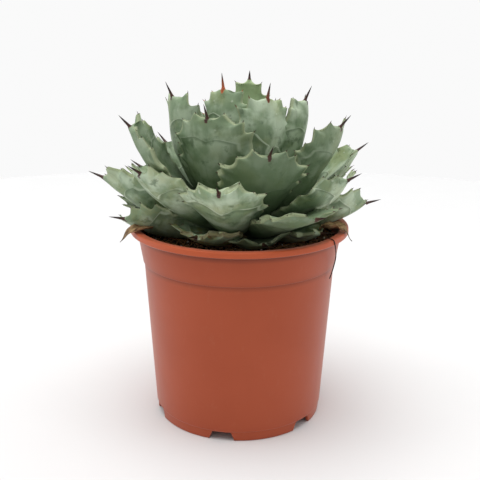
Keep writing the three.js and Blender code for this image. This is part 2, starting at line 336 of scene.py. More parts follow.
def leafSkin():
    # agave cuticle, thick and waxy: dull blue-green under a pale bloom that is rubbed off in places, with
    # painted shade towards each leaf's base
    material, tree, place = newMaterial("agave cuticle", "skin")
    look = {name: pattern(tree, place, *sizes) for name, sizes in skinPatterns.items()}
    dead = mask(tree, 1, ("age", 0.6, 1.0))
    edge = paint(tree, skin["rim"], (skin["bark"], 1, dead))
    tip = paint(tree, skin["hornRoot"], (skin["horn"], 1, ("horn", 0.3, 0.8)),
                (skin["youngHorn"], 1, "ember", ("horn", 0.95, 0.3)))

    # the line that an older leaf pressed into this one while both were in the bud
    nearLine = node(tree, "ShaderNodeMath", {"operation": "ABSOLUTE"}, i0=mask(tree, 1, "imprint")).outputs[0]
    pressed = mask(tree, 1, (nearLine, 1.1, 0.2), (look["broken"], 0.36, 0.52))

    colour = paint(
        tree, skin["sage"],
        (skin["bloom"], 1, (look["mottle"], 0.40, 0.62)),
        (skin["deep"], 0.3, (look["streak"], 0.50, 0.75)),
        (skin["deep"], 0.7, (look["rubbed"], 0.52, 0.68)),
        (skin["yellow"], 0.45, (look["warm"], 0.48, 0.70), "along"),
        (skin["fresh"], 0.65, "youth", "upper"),
        (skin["yellow"], 1, (look["worn"], 0.45, 0.62), "age"),
        (skin["print"], 0.8, pressed),
        (skin["deep"], 0.5, ("imprint", 6.0, 1.4), ("imprint", 0.7, 1.4)),  # the shade inside the line
        (skin["dull"], 0.8, "dull"),
        # painted shade: each leaf grows darker towards its base, where it lies among the other leaves
        (skin["root"], 0.75, ("along", 0.85, 0.15)),
        (skin["bark"], 0.5, (look["speck"], 0.71, 0.78)),
        (skin["bark"], 0.7, (look["scar"], 0.73, 0.76)),
        (edge, 0.5, "rim", (look["ragged"], 0.2, 0.5)),
        (skin["bark"], 0.8, dead, (look["withered"], 0.60, 0.66)),
        (tip, 1, ("horn", 0.05, 0.35)),
    )
    waxy = node(tree, "ShaderNodeMapRange", None, Value=look["mottle"], To_Min=0.5, To_Max=0.66)
    gloss = paint(tree, waxy.outputs["Result"], ((0.35, 0.35, 0.35, 1), 1, ("horn", 0.1, 0.4)))
    bumps = relief(tree, (look["grain"], 0.08), (look["streak"], 0.35), (pressed, 0.15))
    return finish(material, Base_Color=colour, Roughness=gloss, Specular_IOR_Level=0.35, Normal=bumps)


# leaves
leafForm = {
    "rootDistance": 12.0, "bladeShare": 0.42, "neck": 0.42, "widestAt": 0.74,
    "tip": 0.07, "bluntness": 2.05, "thickness": 8.0, "oldThickness": 5.5, "margin": 0.9, "channel": 0.36,
    "youngBow": 0.09, "oldBow": 0.045, "spine": 8.5, "spineRadius": 0.78, "spineFoot": 3.6, "streak": 3.6,
    "toothGap": 7.4, "tooth": 3.0, "hook": 0.45, "wave": 0.9, "prickle": 1.5, "prickleRadius": 0.34,
    "prickleSides": 6, "prickleAlong": [0, 0.55, 1.1, 1.6], "prickleFat": [1, 0.8, 0.4, 0.06],
    "prickleDark": [0.1, 0.3, 0.6, 1.0], "around": 72, "stations": 132, "spineStations": 14,
}

# azimuth is in degrees from the front, positive towards the right; reach and rise take the spine's point out
# and up from the crown's centre. What isn't given is worked out from the leaf's place in the list:
# cup deepens the channel, blunt squares the end, spine is its length, bow is how far the middle sags,
# sway moves the tip sideways and twist turns the blade about its length; youth, age, dull and ember are
# how fresh, withered or dark the skin is and how red the spine is, from 0 to 1
leaves = [
    dict(azimuth=168, reach=16, rise=86, width=28, youth=1.0, cup=0.9, blunt=1.25, spine=5, sway=-1.5),
    dict(azimuth=-24, reach=21, rise=87, width=22, youth=0.5, ember=1.0),
    dict(azimuth=28, reach=30, rise=83, width=30, youth=0.2, ember=0.3),
    dict(azimuth=-146, reach=34, rise=70, width=32),
    dict(azimuth=142, reach=31, rise=71, width=32),
    dict(azimuth=84, reach=36, rise=80, width=34, twist=-20),
    dict(azimuth=-78, reach=38, rise=82, width=36, twist=20),
    dict(azimuth=-23, reach=43, rise=74, width=40, dull=0.5),
    dict(azimuth=180, reach=50, rise=63, width=36),
    dict(azimuth=72, reach=58, rise=67, width=36, twist=-16, blunt=2.5, dull=0.6),
    dict(azimuth=-120, reach=53, rise=52, width=36),
    dict(azimuth=15, reach=59, rise=57, width=39, dull=1.0),
    dict(azimuth=132, reach=60, rise=46, width=36),
    dict(azimuth=-60, reach=67, rise=68, width=38, twist=-22, dull=0.5),
    dict(azimuth=100, reach=71, rise=49, width=36, blunt=1.7),
    dict(azimuth=-155, reach=68, rise=45, width=36),
    dict(azimuth=-9, reach=68, rise=40, width=38),
    dict(azimuth=158, reach=72, rise=39, width=36),
    dict(azimuth=-52, reach=68, rise=45, width=38),
    dict(azimuth=-114, reach=68, rise=36, width=36),
    dict(azimuth=58, reach=70, rise=41, width=36),
    dict(azimuth=124, reach=76, rise=35, width=36),
    dict(azimuth=-84, reach=80, rise=36, width=36, twist=30, blunt=1.7),
    dict(azimuth=-176, reach=76, rise=27, width=36),
    dict(azimuth=86, reach=76, rise=21, width=34, twist=-30),
    dict(azimuth=31, reach=78, rise=26, width=34, bow=0.5, cup=0.7, dull=0.9),
    dict(azimuth=-138, reach=77, rise=25, width=36),
    dict(azimuth=-74, reach=71, rise=14, width=34, dull=0.15, twist=32),
    dict(azimuth=146, reach=76, rise=21, width=34),
    dict(azimuth=-27, reach=55, rise=11, width=34, age=1.0),
    dict(azimuth=-108, reach=74, rise=16, width=34, dull=0.6),
    dict(azimuth=17, reach=50, rise=6, width=30, dull=0.4),
    dict(azimuth=110, reach=70, rise=11, width=32),
    dict(azimuth=-168, reach=69, rise=11, width=32),
    dict(azimuth=60, reach=57, rise=8, width=26, age=0.5),
]


def bladeShape(s, blunt):
    # share of the half width along the blade: a quarter sine from the neck to the widest place,
    # then a blunt superellipse down to the foot of the spine
    form = leafForm
    rising = form["neck"] + (1 - form["neck"]) * np.sin(np.pi / 2 * np.clip(s / form["widestAt"], 0, 1))
    end = np.clip((s - form["widestAt"]) / (1 - form["widestAt"]), 0, 1)
    falling = form["tip"] + (1 - form["tip"]) * (1 - end ** blunt) ** (1 / blunt)
    return np.where(s < form["widestAt"], rising, falling)


def midrib(leaf, length, age):
    # a quadratic Bezier curve in the upright plane of the leaf's azimuth, as a function of s;
    # it returns places and unit tangents as (out, up) pairs, and the two ends of the spine
    form = leafForm
    heart = np.array([0.0, crownHeight])
    point = heart + [leaf["reach"], leaf["rise"]]
    direction = unit(point - heart)
    start = heart + direction * form["rootDistance"]
    end = point - direction * leaf.get("spine", form["spine"])
    bow = leaf.get("bow", length * (form["youngBow"] + (form["oldBow"] - form["youngBow"]) * age))
    middle = (start + end) / 2 + 2 * bow * np.array([direction[1], -direction[0]])

    def curve(s):
        s = s[:, None]
        place = (1 - s) ** 2 * start + 2 * s * (1 - s) * middle + s ** 2 * end
        tangent = 2 * (1 - s) * (middle - start) + 2 * s * (end - middle)
        return place, unit(tangent)
    return curve, end, point


def marginTeeth(arc, firstArc, lastArc, rng):
    # teeth at near-even gaps along one margin; between two teeth the margin is a hollow curve,
    # (1 - |x|) ** 1.8 of the way from the middle of the gap to the tooth
    form = leafForm
    count = max(3, int(round((lastArc - firstArc) / form["toothGap"])))
    gap = (lastArc - firstArc) / count
    places = firstArc + gap * (np.arange(count) + 0.6 + rng.uniform(-0.2, 0.2, count))
    grown = smooth(firstArc - gap, firstArc + 2.5 * gap, places)
    heights = form["tooth"] * rng.uniform(0.6, 1.3, count) * grown
    away = np.abs(arc[:, None] - places) / (gap * 0.52)
    return (np.clip(1 - away, 0, 1) ** 1.8 * heights).max(axis=1), places, heights


# how far clear of the lip and the mix a low leaf lies, and where the lip starts, levels out and ends
restForm = {
    "overLip": 0.5, "overMix": 1.5, "lipStart": -9, "lipLevel": -5.5, "lipEnd": 7, "fall": 6, "spare": 0.12,
}


def restOnPot(points, thick):
    # how far up each point goes so that a low leaf lies on the lip or the mix and isn't in it
    form = restForm
    far = np.hypot(points[..., 0], points[..., 1]) - lipRadius
    lip = potHeight + form["overLip"] - form["fall"] * smooth(0, form["lipEnd"], far)
    mix = mixLevel + form["overMix"]
    ground = mix + (lip - mix) * smooth(form["lipStart"], form["lipLevel"], far)
    lift = np.maximum(0, ground - points[..., 2] + form["spare"] * thick)
    return np.where(far > form["lipEnd"], 0, lift)


noImprint = -9  # so far from a line that none shows


def buildLeaf(index, leaf, material):
    # a grid of v along the leaf and u round it: the upper side is a channel that rises as |u| ** 1.8,
    # the lower a keel as deep as 1 - |u| ** 2.2 of the thickness, and both turn into a round spine
    form = leafForm
    stations = form["stations"]
    rng = np.random.default_rng(100 + index)
    age = index / (len(leaves) - 1)
    rank = leaf.get("age", 0.35 * age)
    blunt = leaf.get("blunt", form["bluntness"] + rng.uniform(-0.3, 0.3))
    length = np.hypot(leaf["reach"], leaf["rise"]) - form["rootDistance"]
    curve, bladeEnd, point = midrib(leaf, length, age)
    spine = leaf.get("spine", form["spine"])
    bladeLength = length - spine

    # v runs along the blade from 0 to 1, at even distances along the margin, and along the spine from 1 to 2
    fine = np.linspace(0, 1, 3000)
    fineWidth = leaf["width"] / 2 * bladeShape(fine, blunt)
    margin = np.cumsum(np.hypot(np.gradient(fineWidth), np.gradient(fine * bladeLength)))
    blade = np.interp(np.linspace(margin[0], margin[-1], stations), margin, fine)
    v = np.concatenate([blade, 1 + np.linspace(0, 1, form["spineStations"] + 1)[1:]])
    s = np.minimum(v, 1)
    out = np.maximum(v - 1, 0)
    rib, tangent = curve(s)
    rib = rib + out[:, None] * (point - bladeEnd)

    around = np.radians(leaf["azimuth"])
    outward = np.array([np.sin(around), -np.cos(around), 0])
    across = np.array([np.cos(around), np.sin(around), 0])
    lift = np.array([0, 0, 1.0])
    forward = tangent[:, :1] * outward + tangent[:, 1:] * lift
    up = np.cross(forward, across)
    twist = (np.radians(leaf.get("twist", 0)) + rng.uniform(-0.06, 0.06)) * smooth(0, 0.7, s)
    side = np.cos(twist)[:, None] * across + np.sin(twist)[:, None] * up
    up = np.cross(forward, side)
    centre = rib[:, :1] * outward + rib[:, 1:] * lift + (leaf.get("sway", 0) * s ** 2)[:, None] * across

    # round the leaf: u is the share of the half width, out along the upper side and back along the lower
    half = form["around"] // 2
    turn = np.linspace(0, 1, half)
    u = np.concatenate([-np.cos(np.pi * turn), np.cos(np.pi * turn)])
    below = np.concatenate([np.zeros(half), np.ones(half)])
    edge = np.abs(u)

    halfWidth = leaf["width"] / 2 * bladeShape(s, blunt)
    along = s * bladeLength
    slope = np.gradient(halfWidth[:stations], along[:stations] + 1e-6 * np.arange(stations))
    slope = np.concatenate([slope, np.full(form["spineStations"], slope[-1])])
    arc = np.concatenate([[0], np.cumsum(np.hypot(np.diff(halfWidth), np.diff(along)))])
    normalX, normalY = 1 / np.hypot(1, slope), -slope / np.hypot(1, slope)
    firstArc = np.interp(form["bladeShare"], s[:stations], arc[:stations])
    lastArc = arc[stations - 1] - form["spineFoot"] - 0.8

    toSpine = smooth(form["spineFoot"], form["tip"] * leaf["width"] / 2, halfWidth) * (v > form["widestAt"])
    reachOut = smooth(0.55, 1, edge) ** 2
    x = halfWidth[:, None] * u
    y = np.zeros_like(x)
    raised = np.zeros_like(x)
    teeth = []
    for sign in (-1, 1):
        tooth, places, heights = marginTeeth(arc, firstArc, lastArc, rng)
        tooth = tooth * (1 - toSpine)
        mine = (np.sign(u) == sign) * reachOut
        x += sign * (tooth * normalX)[:, None] * mine
        y += (tooth * (normalY + form["hook"]))[:, None] * mine
        raised += (tooth * rng.uniform(-0.2, 0.4))[:, None] * mine
        phase = rng.uniform(0, 2 * np.pi)
        ripple = form["wave"] * smooth(0.3, 0.8, s) * np.sin(np.pi * arc / form["toothGap"] + phase)
        raised += (ripple * (1 - toSpine))[:, None] * (np.sign(u) == sign) * edge ** 4
        teeth.append((sign, places, heights))

    depth = form["thickness"] + (form["oldThickness"] - form["thickness"]) * age
    depth = np.maximum(depth * (1 - 0.62 * s ** 1.5), 2 * form["spineRadius"])
    channel = form["channel"] * halfWidth * leaf.get("cup", 1) * (1 - 0.35 * s)
    raised += channel[:, None] * edge ** 1.8
    uneven = rough(x + 40 * index, along[:, None] + 90 * below, 15, index) * 1.7
    uneven += rough(x + 40 * index, along[:, None] + 90 * below, 6, index + 50) * 0.45
    raised += uneven * (1 - toSpine)[:, None] * (0.4 + 0.6 * edge)
    keel = form["margin"] + (depth[:, None] - form["margin"]) * (1 - edge ** 2.2)
    z = raised - below * keel

    # the blade's rings turn into round rings of the spine
    radius = form["spineRadius"] * (1 + 0.5 * (1 - smooth(0.97, 1.15, v))) * (1 - out ** 1.3) ** 0.9 + 0.04
    roundX = radius[:, None] * u
    roundZ = radius[:, None] * np.sqrt(1 - u ** 2) * np.where(below > 0, -1, 1) - depth[-1] * 0.55
    x = x + (roundX - x) * toSpine[:, None]
    z = z + (roundZ - z) * toSpine[:, None]
    points = (centre[:, None] + x[..., None] * side[:, None] + z[..., None] * up[:, None]
              + (y * (1 - toSpine[:, None]))[..., None] * forward[:, None])
    points[..., 2] += restOnPot(points, depth.max() * (0.3 + 0.7 * below))
    vertices, faces = closedTube(points)

    # where the skin is a rim, a horny point or streak, or the line that an older leaf pressed in the bud
    blank = np.zeros_like(x)
    rim = smooth(0.93, 0.99, edge)[None] * smooth(0.25, 0.5, s)[:, None] * (1 - toSpine[:, None])
    streakWidth = 1.3 * smooth(bladeLength - form["streak"], bladeLength, along)
    streak = smooth(0, 0.8, streakWidth[:, None] - np.abs(x)) * below
    darkSpine = np.where(v > 1, 0.35 + 0.65 * out, 0)[:, None]
    horn = np.maximum(0.55 * streak * (v <= 1)[:, None], blank + darkSpine)
    imprint = blank - 30
    for sign in (-1, 1):
        shift, aside = rng.uniform(0.10, 0.34), sign * leaf["width"] * rng.uniform(0.10, 0.28)
        pressed = leaf["width"] / 2 * 0.8 * bladeShape(np.clip(s + shift, 0, 1), blunt) * (s + shift < 1)
        scallop = 2.6 * np.abs(np.sin(np.pi * (along + 3 * index) / form["toothGap"]))
        imprint = np.maximum(imprint, pressed[:, None] - scallop[:, None] - np.abs(x - aside))
    values = {
        "upper": blank + (1 - below), "rim": rim, "horn": horn, "imprint": imprint, "age": blank + rank,
        "along": blank + s[:, None],
    }
    for key in ("youth", "dull", "ember"):
        values[key] = blank + leaf.get(key, 0)
    flat = np.stack([x + 60 * index, blank + (along + spine * out)[:, None] + 110 * below], axis=-1)
    parts = [(vertices, faces)]
    tails = {key: [value.ravel(), value[[0, -1], 0]] for key, value in values.items()}
    flats = [flat.reshape(-1, 2), flat[[0, -1], 0]]

    # each tooth ends in a small horny prickle: rings along its aim, each thinner and darker than the last
    ring = np.linspace(0, 2 * np.pi, form["prickleSides"], endpoint=False)[:, None]
    ends = [form["prickleDark"][0], form["prickleDark"][-1]]
    dark = np.concatenate([np.repeat(form["prickleDark"], len(ring)), ends])
    for sign, places, heights in teeth:
        column = half - 1 if sign > 0 else 0
        rows = np.searchsorted(arc, places)
        aims = sign * normalX[rows, None] * side[rows] + (normalY[rows, None] + form["hook"]) * forward[rows]
        aims = unit(aims)
        reach = (form["prickle"] * heights / form["tooth"])[:, None] * aims
        roots = (points[rows, column] + points[rows, -1 - column]) / 2 - 0.6 * reach
        stretch = np.array(form["prickleAlong"])[:, None, None] * reach[:, None, None]
        fat = np.array(form["prickleFat"])[:, None, None] * form["prickleRadius"]
        other = np.cross(aims, up[rows])
        circle = np.cos(ring) * up[rows][:, None, None] + np.sin(ring) * other[:, None, None]
        cones = roots[:, None, None] + stretch + fat * circle
        for cone, row in zip(cones, rows):
            parts.append(closedTube(cone))
            flats.append(np.tile(flat[row, column], (len(dark), 1)))
            for key in tails:
                tails[key].append(np.full(len(dark), values[key][row, column]))
            tails["horn"][-1] = dark
            tails["imprint"][-1] = np.full(len(dark), noImprint)
    merged, mergedFaces = merge(parts)
    piece = addMesh(f"leaf.{index + 1:02d}", merged, mergedFaces)
    for key, value in tails.items():
        paintVertices(piece, key, np.concatenate(value))
    layUv(piece, np.vstack(flats) * mm)
    finishPiece(piece, material, "leaf_skin", f"leaf_{index + 1:02d}")


# pot
potForm = {
    "lipFace": 3.2, "lipDrop": 1.0, "lipOverhang": 4.0, "collarHeight": 15.8, "collarTaper": 2.6,
    "step": 0.6, "baseRadius": 46.65, "wall": 1.4, "foot": 5.0, "floor": 1.6, "footBand": 0.3,
    "notches": 6, "firstNotch": -11, "notchTop": 10.0, "notchBottom": 14.0, "around": 456, "arcSteps": 6,
    "longestStep": 2.6, "drainRadius": 4.0, "drainCircle": 30.0,
}


def roundedProfile(corners):
    # corners are (radius, height, fillet); each fillet is a quadratic Bezier between points on both sides
    places = np.array([corner[:2] for corner in corners], dtype=float)
    t = np.linspace(0, 1, potForm["arcSteps"])[:, None]
    pieces = [places[:1]]
    for before, here, after, corner in zip(places, places[1:], places[2:], corners[1:]):
        fillet = min(corner[2], 0.45 * np.linalg.norm(before - here), 0.45 * np.linalg.norm(after - here))
        start, end = here + fillet * unit(before - here), here + fillet * unit(after - here)
        pieces.append((1 - t) ** 2 * start + 2 * t * (1 - t) * here + t ** 2 * end)
    pieces.append(places[-1:])
    return np.vstack(pieces)


def resample(profile, step):
    # long straight stretches get points at even distances
    rows = [profile[:1]]
    for a, b in zip(profile, profile[1:]):
        count = max(1, int(np.ceil(np.linalg.norm(b - a) / step)))
        rows.append(a + (b - a) * (np.arange(1, count + 1) / count)[:, None])
    return np.vstack(rows)


def collarShape():
    # radii and heights that the pot, the mix and what leans on them share
    form = potForm
    radius = lipRadius - form["lipOverhang"]
    top = potHeight - form["lipFace"] - form["lipDrop"]
    return {
        "topRadius": radius, "top": top,
        "bottomRadius": radius - form["collarTaper"], "bottom": top - form["collarHeight"],
    }


def drill(piece):
    # round drain holes through the pot's floor
    form = potForm
    turn = np.linspace(0, 2 * np.pi, 48, endpoint=False)
    levels = np.array([form["foot"] - 2, form["foot"] + form["floor"] + 2])[:, None]
    holes = []
    for hole in range(form["notches"]):
        around = np.radians(form["firstNotch"]) + 2 * np.pi * hole / form["notches"]
        x = form["drainCircle"] * np.sin(around) + form["drainRadius"] * np.cos(turn)
        y = -form["drainCircle"] * np.cos(around) + form["drainRadius"] * np.sin(turn)
        holes.append(closedTube(np.stack(np.broadcast_arrays(x, y, levels), axis=-1)))
    cutter = addMesh("drain_cutter", *merge(holes))
    cut = piece.modifiers.new("drains", "BOOLEAN")
    cut.operation = "DIFFERENCE"
    cut.solver = "MANIFOLD"
    cut.object = cutter
    bpy.context.view_layer.update()
    cutMesh = bpy.data.meshes.new_from_object(piece.evaluated_get(bpy.context.evaluated_depsgraph_get()))
    cutMesh.materials.clear()  # the cut leaves an empty slot that would hide the pot's own
    piece.modifiers.clear()
    piece.data = cutMesh
    bpy.data.objects.remove(cutter)


def buildPot():
    # one closed profile, up the outside, over the lip and down the inside, turned about the pot's axis
    form, collar = potForm, collarShape()
    wall, step = form["wall"], form["step"]
    wallTop = collar["bottomRadius"] - step
    footOut = form["baseRadius"] + form["foot"] * (wallTop - form["baseRadius"]) / collar["bottom"]
    lipLow = potHeight - form["lipFace"]
    profile = roundedProfile([
        (0, form["foot"], 0), (footOut - wall, form["foot"], 0.5), (form["baseRadius"] - wall - 0.4, 0, 0.4),
        (form["baseRadius"] - 0.2, 0, 1.0), (footOut - 0.1, form["foot"] + 0.3, 0.2),
        (footOut + form["footBand"], form["foot"] + 0.8, 0.2), (wallTop, collar["bottom"] - 0.1, 0.15),
        (collar["bottomRadius"], collar["bottom"] + 0.1, 0.25), (collar["topRadius"], collar["top"], 0.6),
        (lipRadius - 0.6, lipLow - 0.3, 0.3), (lipRadius + 0.1, lipLow + 0.3, 0.5),
        (lipRadius - 0.1, potHeight - 0.4, 0.7), (lipRadius - 1.0, potHeight, 0.5),
        (collar["topRadius"] - wall + 0.9, potHeight - 0.3, 0.9),
        (collar["topRadius"] - wall, collar["top"], 1.0),
        (collar["bottomRadius"] - wall, collar["bottom"] + step, 0.4),
        (wallTop - wall, collar["bottom"], 0.5), (footOut - wall, form["foot"] + form["floor"], 1.5),
        (0, form["foot"] + form["floor"], 0),
    ])
    profile = resample(profile, form["longestStep"])[1:-1]
    turn = np.linspace(0, 2 * np.pi, form["around"], endpoint=False)

    # a notch lifts the foot ring's edge: full height in its middle, less on its sloping sides, none past them
    gap = 2 * np.pi / form["notches"]
    away = np.abs((turn - np.radians(form["firstNotch"]) + gap / 2) % gap - gap / 2) * form["baseRadius"]
    notch = 1 - np.clip((away - form["notchTop"] / 2) / ((form["notchBottom"] - form["notchTop"]) / 2), 0, 1)
    height = profile[:, 1]
    foot = (height < form["foot"]) * (height > -1)
    lifted = height[:, None] + foot[:, None] * notch * 0.97 * (form["foot"] - height[:, None])
    warp = 0.12 * np.sin(2 * turn + 0.6) * smooth(20, 95, height)[:, None]  # a thin pot is never quite round
    vertices, faces = closedTube(turned(profile[:, :1] + warp, lifted, turn))
    piece = addMesh("nursery_pot", vertices, faces)
    drill(piece)
    place = np.empty(3 * len(piece.data.vertices), dtype=np.float32)
    piece.data.vertices.foreach_get("co", place)
    place = (place.reshape(-1, 3) - potAxis) / mm

    # painted shade darkens the groove under the lip and, less, the step under the collar;
    # the lip's face gets a painted highlight
    high, outer = place[:, 2], np.hypot(place[:, 0], place[:, 1]) > form["baseRadius"] - wall / 2
    # groove marks where painted shade falls: the band under the lip and the step under the collar
    groove = smooth(lipLow - 4.5, lipLow - 0.6, high) * (high < lipLow)
    groove = (groove + 0.55 * (1 - smooth(0, 0.9, np.abs(high - collar["bottom"] + 0.2)))) * outer
    paintVertices(piece, "groove", groove)
    # the lip's face gets a painted highlight: it is brighter where light falls on it
    paintVertices(piece, "lip", smooth(lipLow - 0.4, lipLow + 0.6, high))
    finishPiece(piece, potPlastic(), "pot_plastic", "pot")


# edge is a painted highlight for the lip's face, and the dark brown is painted shade under the lip and in the
# collar's step
terracotta = {
    "wall": "#a84b2b", "worn": "#ad4f2f", "dust": "#b2684c", "edge": "#cb6038", "scuff": "#bf7c5c",
    "paintedShade": "#5e2c20",
}


def potPlastic():
    # injection-moulded polypropylene, coloured like terracotta: satin and even, with a film of dust
    # and fine scuffs that run up the wall, a painted highlight on the lip's face and painted shade under the
    # lip and the collar
    material, tree, place = newMaterial("moulded polypropylene")
    film = pattern(tree, place, 5, 6, 0.7, (1, 1, 0.6))
    scuffs = pattern(tree, place, 1.8, 4, 0.6, (1, 1, 0.10))
    colour = paint(
        tree, terracotta["wall"],
        (terracotta["worn"], 1, (pattern(tree, place, 40), 0.3, 0.7)),
        (terracotta["dust"], 0.3, (film, 0.55, 0.85)),
        (terracotta["scuff"], 0.22, (scuffs, 0.72, 0.80)),
        # painted highlight on the lip's face
        (terracotta["edge"], 0.5, "lip"),
        # painted shade under the lip and in the step under the collar
        (terracotta["paintedShade"], 0.75, "groove"),
    )
    satin = node(tree, "ShaderNodeMapRange", None, Value=film, To_Min=0.36, To_Max=0.46).outputs["Result"]
    bumps = relief(tree, (pattern(tree, place, 0.8, 2), 0.02), (pattern(tree, place, 26, 2), 0.25))
    return finish(material, Base_Color=colour, Roughness=satin, Specular_IOR_Level=0.22, Sheen_Weight=0.12,
                  Normal=bumps)


# potting mix
mixForm = {
    "gap": 0.4, "crown": 1.5, "relief": 1.1, "lumps": [(9, 1), (4, 0.6), (1.7, 0.35)],
    "around": 360, "rings": 110, "bark": 1500, "perlite": 150, "fibres": 620,
}
mixColours = {
    "peat": "#2b1d15", "peatDark": "#150f0c", "rust": "#7d4a26", "bark": "#4a3020", "barkPale": "#8a6844",
    "perlite": "#d9d4c8", "perlitePale": "#efece4", "fibre": "#a87640",
}


def mixHeight(x, y):
    # the mix's surface: higher round the stem, and the sum of lumps at three widths
    far = np.hypot(x, y)
    lumps = 0
    for seed, (width, share) in enumerate(mixForm["lumps"], 1):
        lumps = lumps + share * rough(x + 80, y + 80, width, seed)
    level = mixLevel + mixForm["crown"] * (1 - smooth(15, 45, far))
    return level + mixForm["relief"] * lumps * (1 - smooth(48, 54, far))


def buildMix():
    # a disc of the surface, its edge carried down along the pot's inside to the floor
    collar = collarShape()
    turn = np.linspace(0, 2 * np.pi, mixForm["around"], endpoint=False)
    level = mixLevel
    rise = (level - collar["bottom"]) / (collar["top"] - collar["bottom"])
    rim = collar["bottomRadius"] + potForm["collarTaper"] * rise - potForm["wall"] - mixForm["gap"]
    far = rim * np.linspace(0.02, 1, mixForm["rings"])[:, None]
    x, y = far * np.sin(turn), -far * np.cos(turn)
    top = np.stack([x, y, mixHeight(x, y)], axis=-1)
    low = collar["bottomRadius"] - potForm["step"] - potForm["wall"] - mixForm["gap"]
    base = potForm["baseRadius"] - potForm["wall"] - mixForm["gap"]
    floor = potForm["foot"] + potForm["floor"] + mixForm["gap"]
    sides = np.array([(rim - 0.3, level - 1.5), (low, collar["bottom"]), (base, floor), (base * 0.02, floor)])
    vertices, faces = closedTube(np.vstack([top, turned(sides[:, :1], sides[:, 1:], turn)]))
    piece = addMesh("potting_mix.peat", vertices, faces)
    finishPiece(piece, peat(), "potting_mix", "potting_mix")


def lumpShapes(count, sizes, flatness, seed, sides=6, rows=4):
    # many small closed lumps at once: a coarse sphere for each, squashed, turned and made uneven
    rng = np.random.default_rng(seed)
    polar = np.linspace(0.12, np.pi - 0.12, rows)[:, None]
    ball = turned(np.sin(polar), np.cos(polar), np.linspace(0, 2 * np.pi, sides, endpoint=False) + np.pi / 2)
    size = rng.uniform(*sizes, (count, 1, 1, 1))
    shape = ball * (1 + rng.uniform(-0.28, 0.28, (count, rows, sides, 1))) * size
    narrow = rng.uniform(0.4, 0.9, (count, 1, 1))
    spin, tilt = rng.uniform(0, 2 * np.pi, (count, 1, 1)), rng.uniform(-0.7, 0.7, (count, 1, 1))
    x, y, z = shape[..., 0], shape[..., 1] * narrow, shape[..., 2] * flatness
    y, z = y * np.cos(tilt) - z * np.sin(tilt), y * np.sin(tilt) + z * np.cos(tilt)
    x, y = x * np.cos(spin) - y * np.sin(spin), x * np.sin(spin) + y * np.cos(spin)
    return np.stack([x, y, z], axis=-1), rng


def scatter(name, count, sizes, flatness, lift, seed, material, nearest=16, farthest=52.5):
    # lumps at random places on the mix, partly sunk in it; lift is a share of their size
    shapes, rng = lumpShapes(count, sizes, flatness, seed)
    far = np.sqrt(rng.uniform(nearest ** 2, farthest ** 2, count))
    turn = rng.uniform(0, 2 * np.pi, count)
    x, y = far * np.sin(turn), -far * np.cos(turn)
    places = np.stack([x, y, mixHeight(x, y) + lift * np.mean(sizes)], axis=-1)
    tones = rng.uniform(0, 1, count)
    vertices, faces = merge([closedTube(shape + place) for shape, place in zip(shapes, places)])
    piece = addMesh(name, vertices, faces)
    paintVertices(piece, "tone", np.repeat(tones, len(vertices) // count))
    finishPiece(piece, material, "potting_mix")


def buildFibres():
    # coir threads: four-sided tubes along short arcs that lie on the mix
    rng = np.random.default_rng(31)
    count = mixForm["fibres"]
    far = np.sqrt(rng.uniform(18 ** 2, 52 ** 2, count))
    turn, heading = rng.uniform(0, 2 * np.pi, (2, count))
    span = rng.uniform(3, 11, count)
    bend = rng.uniform(-1.1, 1.1, count)
    t = np.linspace(-0.5, 0.5, 7)
    angle = heading[:, None] + bend[:, None] * t
    x = far[:, None] * np.sin(turn)[:, None] + span[:, None] * t * np.cos(angle)
    y = -far[:, None] * np.cos(turn)[:, None] + span[:, None] * t * np.sin(angle)
    inside = np.minimum(1, 53.2 / np.hypot(x, y))
    x, y = x * inside, y * inside
    z = mixHeight(x, y) + 0.5 + rng.uniform(0, 1.6, (count, 1)) * (1 - (2 * t) ** 2)
    tubes = tubeAlong(np.stack([x, y, z], axis=-1), rng.uniform(0.09, 0.2, (count, 1, 1, 1)), 4, [0, 0, 1.0])
    vertices, faces = merge([closedTube(tube) for tube in tubes])
    piece = addMesh("potting_mix.coir", vertices, faces)
    paintVertices(piece, "tone", np.repeat(rng.uniform(0, 1, count), len(vertices) // count))
    finishPiece(piece, crumbs("coir fibre", mixColours["barkPale"], mixColours["fibre"]), "potting_mix")


def peat():
    # milled peat, damp: nearly black, with rusty fibres and crumbs
    material, tree, place = newMaterial("damp peat")
    crumb = pattern(tree, place, 1.8, 6, 0.7)
    colour = paint(tree, mixColours["peatDark"], (mixColours["peat"], 1, (crumb, 0.35, 0.62)),
                   (mixColours["rust"], 0.7, (pattern(tree, place, 3.2, 5, 0.7), 0.58, 0.7)))
    return finish(material, Base_Color=colour, Roughness=0.95, Specular_IOR_Level=0.2,
                  Normal=relief(tree, (crumb, 1.1)))


def crumbs(name, dark, pale):
    # loose broken bits, matt, each a little lighter or darker than the next
    material, tree, place = newMaterial(name)
    grain = pattern(tree, place, 0.8, 4, 0.6)
    colour = paint(tree, dark, (pale, 1, "tone"), (mixColours["peat"], 0.4, (grain, 0.4, 0.7)))
    return finish(material, Base_Color=colour, Roughness=0.9, Normal=relief(tree, (grain, 0.25)))


# stem, heart bud and old leaves
stemForm = {
    "radius": 9.0, "depth": 20.0, "crownRadius": 17.0, "scarGap": 2.6, "around": 96, "rings": 60,
    "dark": "#5b4a33", "pale": "#8c855c",
}
budForm = {"rise": 68.5, "radius": 6.0, "overCrown": 0.5, "around": 48, "rings": 70}


